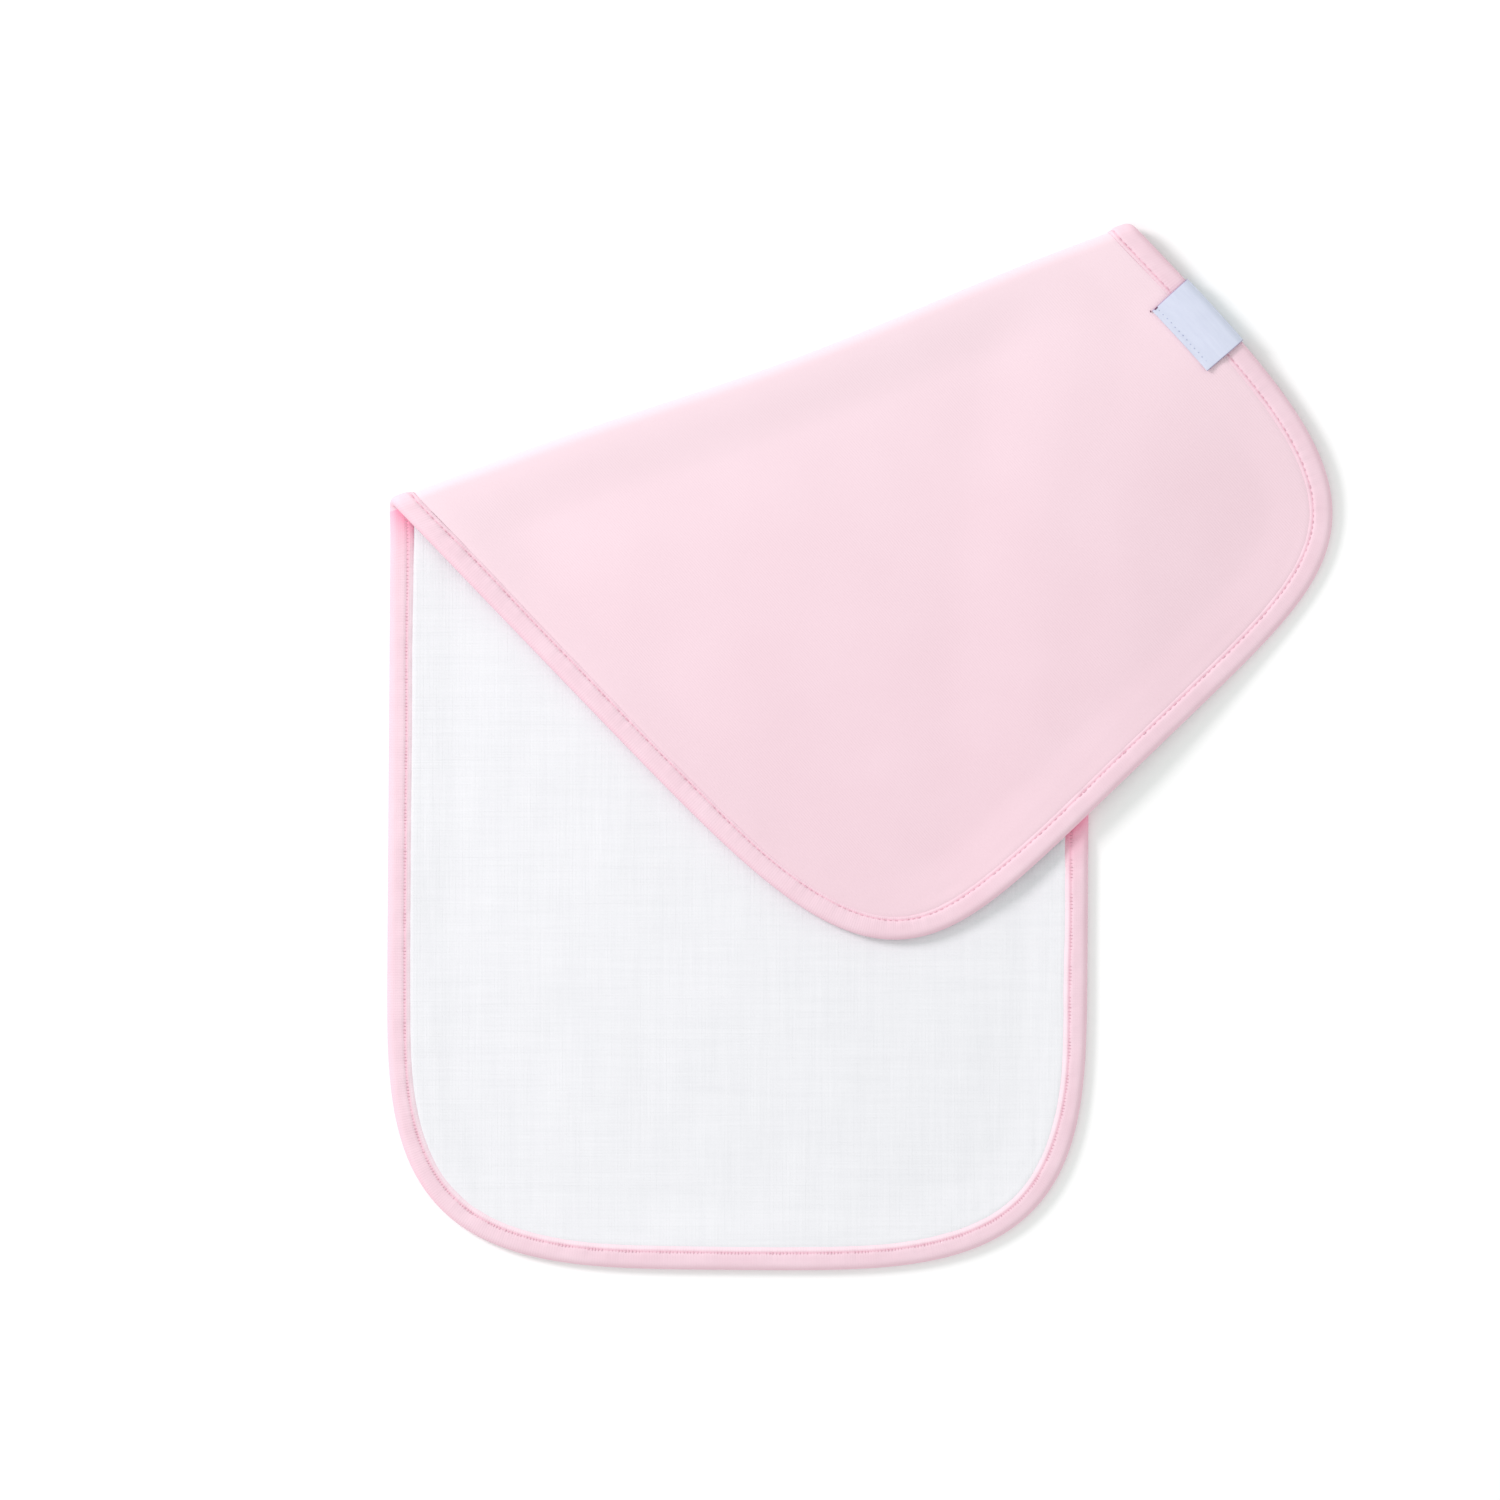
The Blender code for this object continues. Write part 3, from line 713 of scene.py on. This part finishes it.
# Label: a woven ribbon folded over the tape, coming down to the faces behind it
def make_label(material):
    stations = np.linspace(LABEL_START, LABEL_START + LABEL_LENGTH, 61)
    run = ((stations - LABEL_START) / LABEL_LENGTH)[:, None]
    near = HALF_BOUND + LABEL_OVER
    low = HALF_STACK + LABEL_REST
    flat = np.concatenate([np.linspace(LABEL_DEPTH, TAPE_WIDTH + 2.6 * MM, 10),
                           np.linspace(TAPE_WIDTH + 2.1 * MM, LABEL_BOW, 16)])
    drop = ease((TAPE_WIDTH + 6.0 * MM - flat) / (9.0 * MM))
    base = low + (near - low) * drop
    corner = ease((run - 0.80) / 0.20) * ease((flat[None, :] - 11.5 * MM) / (5.0 * MM))
    wave = 0.10 * MM * np.sin(math.pi * (2.2 * run + 0.3))
    wave = wave + 0.05 * MM * np.sin(11.0 * run + flat[None, :] / (2.0 * MM))
    arc = np.radians(np.linspace(80.0, -80.0, 9))[None, :]
    parts = []
    for thick in (0.0, LABEL):
        upper = base[None, :] + wave * 0.6 + thick + np.zeros(run.shape)
        lower = base[None, :] + wave * 0.6 + corner * 0.55 * MM + thick + np.zeros(run.shape)
        bow_depth = LABEL_BOW - (2.75 * MM + thick) * np.cos(arc) + np.zeros(run.shape)
        bow_off = (near + thick) * np.sin(arc) / math.sin(math.radians(84.0)) + np.zeros(run.shape)
        flats = np.broadcast_to(flat[None, :], (stations.size, flat.size))
        depth = np.concatenate([flats, bow_depth, flats[:, ::-1]], axis=1)
        off = np.concatenate([upper, bow_off, -lower[:, ::-1]], axis=1)
        parts.append((depth, off))
    depth = np.concatenate([parts[0][0], parts[1][0][:, ::-1]], axis=1)
    off = np.concatenate([parts[0][1], parts[1][1][:, ::-1]], axis=1)
    return sweep("label_ribbon", stations, depth, off, False, material, "ribbon")


# Soft swell of a face just inside the tape
def seam_swell(depth):
    return SWELL * np.exp(-((depth - TAPE_WIDTH - SWELL_SHIFT) / SWELL_REACH) ** 2)


# Relief of the knitted face: long soft swells and small puckers beside the seam
def knit_relief(s, q, depth):
    swell = 0.16 * MM * waves(s, q, 62.0 * MM, 3) + 0.05 * MM * waves(s, q, 21.0 * MM, 4)
    pucker = 0.07 * MM * waves(s, q, 7.0 * MM, 5) * (1.0 - ease((depth - TAPE_WIDTH) / (14.0 * MM)))
    on_flap = ease((q - 12.0 * MM) / (20.0 * MM))
    clear = ease((depth - TAPE_WIDTH) / (4.0 * MM))
    return (swell + pucker) * on_flap * clear + seam_swell(depth) * on_flap


# Relief of the gauze face: soft crossing wrinkles and puckers beside the seam
def gauze_relief(s, q, depth):
    across, along = np.moveaxis(weave_place(s, q), -1, 0)
    swell = 0.14 * MM * waves(s, q, 48.0 * MM, 8) + 0.06 * MM * waves(across, along * 0.45, 15.0 * MM, 9)
    pucker = 0.09 * MM * waves(s, q, 6.0 * MM, 10) * (1.0 - ease((depth - TAPE_WIDTH) / (16.0 * MM)))
    on_floor = ease((-q - 10.0 * MM) / (16.0 * MM))
    clear = ease((depth - TAPE_WIDTH) / (4.0 * MM))
    return (swell + pucker) * on_floor * clear + seam_swell(depth) * on_floor


# Node helpers
def new_material(name, roughness, sheen):
    material = bpy.data.materials.new(name)
    material.use_nodes = True
    shader = material.node_tree.nodes["Principled BSDF"]
    shader.inputs["Roughness"].default_value = roughness
    shader.inputs["Metallic"].default_value = 0.0
    shader.inputs["Specular IOR Level"].default_value = 0.18
    shader.inputs["Sheen Weight"].default_value = sheen
    shader.inputs["Sheen Roughness"].default_value = 0.55
    return material, material.node_tree, shader


def add_node(tree, kind, **values):
    node = tree.nodes.new(kind)
    for key, value in values.items():
        setattr(node, key, value)
    return node


# A math node fed by sockets or plain numbers
def maths(tree, operation, *inputs, clamp=False):
    node = add_node(tree, "ShaderNodeMath", operation=operation, use_clamp=clamp)
    for socket, value in zip(node.inputs, inputs):
        if isinstance(value, bpy.types.NodeSocket):
            tree.links.new(value, socket)
        else:
            socket.default_value = value
    return node.outputs[0]


# The two weave coordinates in metres
def weave_axes(tree):
    uv = add_node(tree, "ShaderNodeUVMap", uv_map="weave")
    split = add_node(tree, "ShaderNodeSeparateXYZ")
    tree.links.new(uv.outputs["UV"], split.inputs[0])
    return uv.outputs["UV"], split.outputs["X"], split.outputs["Y"]


# Noise over the weave coordinates, stretched along each axis
def noise(tree, vector, scale_x, scale_y, detail, roughness):
    mapping = add_node(tree, "ShaderNodeMapping")
    mapping.inputs["Scale"].default_value = (scale_x, scale_y, 1.0)
    tree.links.new(vector, mapping.inputs["Vector"])
    node = add_node(tree, "ShaderNodeTexNoise")
    node.inputs["Scale"].default_value = 1.0
    node.inputs["Detail"].default_value = detail
    node.inputs["Roughness"].default_value = roughness
    tree.links.new(mapping.outputs["Vector"], node.inputs["Vector"])
    return node.outputs["Fac"]


def ramp(tree, value, stops):
    node = add_node(tree, "ShaderNodeValToRGB")
    elements = node.color_ramp.elements
    for element, (place, colour) in zip(elements, stops[:2]):
        element.position = place
        element.color = (*colour, 1.0)
    for place, colour in stops[2:]:
        element = elements.new(place)
        element.color = (*colour, 1.0)
    tree.links.new(value, node.inputs["Fac"])
    return node.outputs["Color"]


# A colour that turns from the first to a fixed one as the factor rises
def mix_colours(tree, factor, first, second):
    node = add_node(tree, "ShaderNodeMix", data_type="RGBA")
    tree.links.new(factor, node.inputs["Factor"])
    tree.links.new(first, node.inputs[6])
    node.inputs[7].default_value = (*second, 1.0)
    return node.outputs[2]


def bump(tree, shader, height, distance, strength=1.0):
    node = add_node(tree, "ShaderNodeBump")
    node.inputs["Distance"].default_value = distance
    node.inputs["Strength"].default_value = strength
    tree.links.new(height, node.inputs["Height"])
    tree.links.new(node.outputs["Normal"], shader.inputs["Normal"])


def sine(tree, value, pitch, phase=0.0):
    angle = maths(tree, "MULTIPLY_ADD", value, 2.0 * math.pi / pitch, phase)
    return maths(tree, "SINE", angle)


# Knitted jersey: columns of small V loops, with soft mottling, and painted light that makes it paler
# near the crease
def jersey_material():
    material, tree, shader = new_material("jersey_knit", 0.88, 0.35)
    vector, u, v = weave_axes(tree)
    wobble = noise(tree, vector, 700.0, 700.0, 2.0, 0.5)
    u_moved = maths(tree, "MULTIPLY_ADD", wobble, 0.00022, u)
    column = maths(tree, "ABSOLUTE", sine(tree, u_moved, KNIT_COLUMN))
    lean = maths(tree, "MULTIPLY_ADD", column, 0.00042, v)
    loop = sine(tree, lean, KNIT_LOOP)
    loops = maths(tree, "MULTIPLY_ADD", loop, 0.22, maths(tree, "MULTIPLY", column, 0.55))
    fuzz = noise(tree, vector, 2600.0, 2600.0, 3.0, 0.6)
    height = maths(tree, "MULTIPLY_ADD", fuzz, 0.55, loops)
    bump(tree, shader, height, 0.00007, 0.75)
    mottle = noise(tree, vector, 26.0, 26.0, 3.0, 0.5)
    fine = noise(tree, vector, 1400.0, 900.0, 2.0, 0.5)
    tone = maths(tree, "MULTIPLY_ADD", fine, 0.35, maths(tree, "MULTIPLY", mottle, 0.65))
    colour = ramp(tree, tone, [(0.30, (0.794, 0.574, 0.640)), (0.70, (0.826, 0.612, 0.680))])
    # Painted highlight: paler towards the crease, by distance across the crease
    sideways = maths(tree, "MULTIPLY", u, -math.sin(CREASE_ANGLE))
    across = maths(tree, "MULTIPLY_ADD", v, math.cos(CREASE_ANGLE), sideways)
    away = maths(tree, "DIVIDE", maths(tree, "ABSOLUTE", across), PAINTED_LIGHT_REACH, clamp=True)
    painted_light = maths(tree, "POWER", maths(tree, "SUBTRACT", 1.0, away), PAINTED_LIGHT_POWER)
    colour = mix_colours(tree, maths(tree, "MULTIPLY", painted_light, PAINTED_LIGHT_SHARE), colour, PAINTED_LIGHT_PINK)
    tree.links.new(colour, shader.inputs["Base Color"])
    return material


# Gauze: crossing threads at half a millimetre, a few thicker or gathered ones
def gauze_material():
    material, tree, shader = new_material("muslin_gauze", 0.92, 0.08)
    vector, u, v = weave_axes(tree)
    warp_slub = noise(tree, vector, 900.0, 34.0, 2.0, 0.55)
    weft_slub = noise(tree, vector, 34.0, 900.0, 2.0, 0.55)
    u_moved = maths(tree, "MULTIPLY_ADD", warp_slub, 0.00018, u)
    v_moved = maths(tree, "MULTIPLY_ADD", weft_slub, 0.00018, v)
    warp = maths(tree, "ABSOLUTE", sine(tree, u_moved, GAUZE_WARP))
    weft = maths(tree, "ABSOLUTE", sine(tree, v_moved, GAUZE_WEFT))
    threads = maths(tree, "MAXIMUM", warp, weft)
    slubs = maths(tree, "ADD", warp_slub, weft_slub)
    height = maths(tree, "MULTIPLY_ADD", slubs, 1.5, threads)
    bump(tree, shader, height, 0.00010, 0.7)
    patches_warp = noise(tree, vector, 260.0, 22.0, 2.0, 0.6)
    patches_weft = noise(tree, vector, 22.0, 260.0, 2.0, 0.6)
    tone = maths(tree, "MULTIPLY", maths(tree, "ADD", patches_warp, patches_weft), 0.5)
    tone = maths(tree, "MULTIPLY_ADD", slubs, 0.15, maths(tree, "MULTIPLY", tone, 0.7))
    colour = ramp(tree, tone, [(0.38, (0.778, 0.776, 0.806)), (0.62, (0.812, 0.809, 0.838))])
    tree.links.new(colour, shader.inputs["Base Color"])
    return material


# Tape: fine crosswise ribs, a paler band, and deeper pink as painted shade at the fold, seams, inner
# edge and under the flap's edge
def tape_material():
    material, tree, shader = new_material("tape_rib", 0.82, 0.12)
    vector, u, v = weave_axes(tree)
    wobble = noise(tree, vector, 500.0, 200.0, 2.0, 0.5)
    u_moved = maths(tree, "MULTIPLY_ADD", wobble, 0.0002, u)
    ribs = maths(tree, "ABSOLUTE", sine(tree, u_moved, TAPE_RIB))
    cross = sine(tree, v, TAPE_ROW)
    fuzz = noise(tree, vector, 2400.0, 2400.0, 3.0, 0.6)
    height = maths(tree, "MULTIPLY_ADD", cross, 0.10, maths(tree, "MULTIPLY", ribs, 0.6))
    height = maths(tree, "MULTIPLY_ADD", fuzz, 0.5, height)
    bump(tree, shader, height, 0.00008, 0.8)
    mottle = noise(tree, vector, 60.0, 120.0, 3.0, 0.55)
    colour = ramp(tree, mottle, [(0.30, (0.800, 0.570, 0.645)), (0.70, (0.835, 0.616, 0.690))])
    past = maths(tree, "SUBTRACT", maths(tree, "MULTIPLY", v, -1.0), AROUND_BAND)
    band = maths(tree, "MULTIPLY", past, BAND_SHARPNESS, clamp=True)
    colour = mix_colours(tree, maths(tree, "MULTIPLY", band, BAND_SHARE), colour, PALE_PINK)
    # Painted shade: deeper pink at the outer fold, the seams and the inner edge
    away = maths(tree, "ABSOLUTE", v)
    fold = maths(tree, "SUBTRACT", 1.0, maths(tree, "DIVIDE", away, FOLD_REACH), clamp=True)
    rim = maths(tree, "MULTIPLY", maths(tree, "SUBTRACT", away, TAPE_RIM), RIM_SHARPNESS, clamp=True)
    painted_shade = maths(tree, "MAXIMUM", maths(tree, "MULTIPLY", fold, FOLD_SHARE),
                 maths(tree, "MULTIPLY", rim, RIM_SHARE))
    for place in (AROUND_KNIT, AROUND_GAUZE):
        off = maths(tree, "ABSOLUTE", maths(tree, "SUBTRACT", v, place))
        seam = maths(tree, "SUBTRACT", 1.0, maths(tree, "DIVIDE", off, SEAM_REACH), clamp=True)
        painted_shade = maths(tree, "MAXIMUM", painted_shade, maths(tree, "MULTIPLY", seam, SEAM_SHARE))
    colour = mix_colours(tree, painted_shade, colour, PAINTED_SHADE_PINK)
    # Painted shade: deeper pink on the lower half's tape where it lies under the flap's edge
    under_flap_shade = add_node(tree, "ShaderNodeAttribute", attribute_name="under_flap_shade")
    colour = mix_colours(tree, under_flap_shade.outputs["Fac"], colour, UNDER_FLAP_SHADE_PINK)
    tree.links.new(colour, shader.inputs["Base Color"])
    return material


# Thread: fine twist along each stitch
def thread_material():
    material, tree, shader = new_material("stitch_thread", 0.6, 0.1)
    vector, u, v = weave_axes(tree)
    twist = sine(tree, maths(tree, "MULTIPLY_ADD", v, 4.0, u), 0.00035)
    bump(tree, shader, twist, 0.00003, 0.6)
    tone = noise(tree, vector, 300.0, 300.0, 2.0, 0.5)
    colour = ramp(tree, tone, [(0.30, (0.800, 0.450, 0.550)), (0.70, (0.850, 0.530, 0.620))])
    tree.links.new(colour, shader.inputs["Base Color"])
    return material


# Ribbon: fine satin threads and a darker edge at both ends
def ribbon_material():
    material, tree, shader = new_material("ribbon_satin", 0.75, 0.05)
    vector, u, v = weave_axes(tree)
    warp = sine(tree, u, 0.00042)
    weft = sine(tree, v, 0.00034)
    weave = maths(tree, "MULTIPLY", warp, weft)
    fuzz = noise(tree, vector, 1800.0, 3600.0, 2.0, 0.5)
    height = maths(tree, "MULTIPLY_ADD", fuzz, 0.5, maths(tree, "MULTIPLY", weave, 0.5))
    bump(tree, shader, height, 0.00004, 0.7)
    tone = noise(tree, vector, 120.0, 700.0, 3.0, 0.5)
    base = ramp(tree, tone, [(0.3, (0.607, 0.637, 0.770)), (0.7, (0.646, 0.676, 0.803))])
    centre = maths(tree, "SUBTRACT", u, LABEL_START + LABEL_LENGTH / 2)
    outward = maths(tree, "SUBTRACT", maths(tree, "ABSOLUTE", centre), LABEL_LENGTH / 2 - 0.0004)
    edge = maths(tree, "MULTIPLY", outward, 2500.0, clamp=True)
    tree.links.new(mix_colours(tree, edge, base, (0.36, 0.24, 0.42)), shader.inputs["Base Color"])
    return material


# Row of small stitches near the label's inner edge, and the thread ends at its upper corner
def make_label_stitches(name, spots, size, material):
    radii = THREAD_RADII * size
    angle = np.linspace(0.0, 2.0 * math.pi, THREAD_SIDES, endpoint=False)
    threads = []
    for station, depth, run, rise in spots:
        length = station + THREAD_SHARES * run[0]
        inset = depth + THREAD_SHARES * run[1]
        along = np.array(run) / math.hypot(*run)
        around = radii[:, None] * np.cos(angle)[None, :]
        length = length[:, None] - along[1] * around
        inset = inset[:, None] + along[0] * around
        place = OUTLINE.at(length) + OUTLINE.inward(length) * inset[..., None]
        lift = HALF_STACK + LABEL_REST + LABEL + rise - 0.10 * MM * np.abs(THREAD_SHARES)
        off = -(lift[:, None] + radii[:, None] * np.sin(angle)[None, :])
        threads.append((place, off, np.stack([length, inset], axis=-1)))
    return join_threads(name, threads, material)


def label_row():
    chance = np.random.default_rng(SEED)
    count = 13
    spots = []
    for n in range(count):
        station = LABEL_START + 1.4 * MM + n * (LABEL_LENGTH - 4.6 * MM) / (count - 1)
        depth = LABEL_DEPTH - 2.0 * MM + chance.uniform(-0.12, 0.12) * MM
        spots.append((station, depth, (0.55 * MM, chance.uniform(-0.1, 0.1) * MM), 0.10 * MM))
    return spots


def label_ends():
    return [(LABEL_START + 0.3 * MM, LABEL_DEPTH - 1.7 * MM, (0.1 * MM, 1.6 * MM), 0.16 * MM),
            (LABEL_START - 0.1 * MM, LABEL_DEPTH + 0.5 * MM, (0.5 * MM, 0.5 * MM), -0.20 * MM)]


def label_thread_material(name, dark, light):
    material, tree, shader = new_material(name, 0.7, 0.1)
    vector, _, _ = weave_axes(tree)
    tone = noise(tree, vector, 300.0, 300.0, 2.0, 0.5)
    colour = ramp(tree, tone, [(0.3, dark), (0.7, light)])
    tree.links.new(colour, shader.inputs["Base Color"])
    return material


def floor_material():
    material, _, shader = new_material("floor_paper", 0.95, 0.0)
    shader.inputs["Base Color"].default_value = FLOOR_COLOUR
    shader.inputs["Specular IOR Level"].default_value = 0.0
    return material


# Floor, surroundings and light
def make_stage():
    mesh = bpy.data.meshes.new("floor")
    bm = bmesh.new()
    bmesh.ops.create_grid(bm, x_segments=1, y_segments=1, size=FLOOR_HALF)
    bm.to_mesh(mesh)
    bm.free()
    floor = bpy.data.objects.new("floor", mesh)
    mesh.materials.append(floor_material())
    bpy.context.scene.collection.objects.link(floor)
    floor.location.z = -FLOOR_DROP

    world = bpy.data.worlds.new("studio")
    bpy.context.scene.world = world
    world.use_nodes = True
    back = world.node_tree.nodes["Background"]
    back.inputs["Color"].default_value = WORLD_COLOUR
    back.inputs["Strength"].default_value = WORLD_STRENGTH

    light = bpy.data.lights.new("key", "AREA")
    light.shape = "DISK"
    light.size = KEY_SIZE
    light.energy = KEY_POWER
    light.color = KEY_COLOUR
    key = bpy.data.objects.new("key", light)
    bpy.context.scene.collection.objects.link(key)
    flat = KEY_DISTANCE * math.cos(KEY_ELEVATION)
    place = Vector((flat * math.cos(KEY_BEARING), flat * math.sin(KEY_BEARING),
                    KEY_DISTANCE * math.sin(KEY_ELEVATION)))
    key.location = place
    key.rotation_euler = (-place).to_track_quat("-Z", "Y").to_euler()
    bpy.context.scene.view_settings.view_transform = "Standard"


def make_camera():
    camera = bpy.data.cameras.new("camera")
    camera.sensor_fit = "HORIZONTAL"
    camera.sensor_width = SENSOR
    camera.lens = SENSOR * VIEW_HEIGHT / VIEW_WIDTH
    camera.clip_start = 0.05
    camera.clip_end = 50.0
    obj = bpy.data.objects.new("camera", camera)
    obj.location = (VIEW_MIDDLE[0], VIEW_MIDDLE[1], VIEW_HEIGHT)
    bpy.context.scene.collection.objects.link(obj)
    bpy.context.scene.camera = obj


def main():
    make_camera()
    make_stage()
    jersey = make_face("jersey_cloth", -1.0, knit_relief, jersey_material())
    gauze = make_face("muslin_cloth", 1.0, gauze_relief, gauze_material())
    binding = make_binding(tape_material())
    thread = thread_material()
    seam_knit = make_stitches("stitches_knit_side", SEAM_KNIT, -1.0, False, thread)
    seam_gauze = make_stitches("stitches_gauze_side", SEAM_GAUZE, 1.0, True, thread)
    label = make_label(ribbon_material())
    row_thread = label_thread_material("label_thread", (0.36, 0.40, 0.58), (0.46, 0.50, 0.66))
    end_thread = label_thread_material("label_thread_dark", (0.16, 0.05, 0.10), (0.24, 0.09, 0.15))
    row = make_label_stitches("label_stitches", label_row(), 0.15 * MM, row_thread)
    ends = make_label_stitches("label_thread_ends", label_ends(), 0.22 * MM, end_thread)
    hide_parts("jersey_panel")
    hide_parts("muslin_panel")
    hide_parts("binding")
    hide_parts("label")


main()
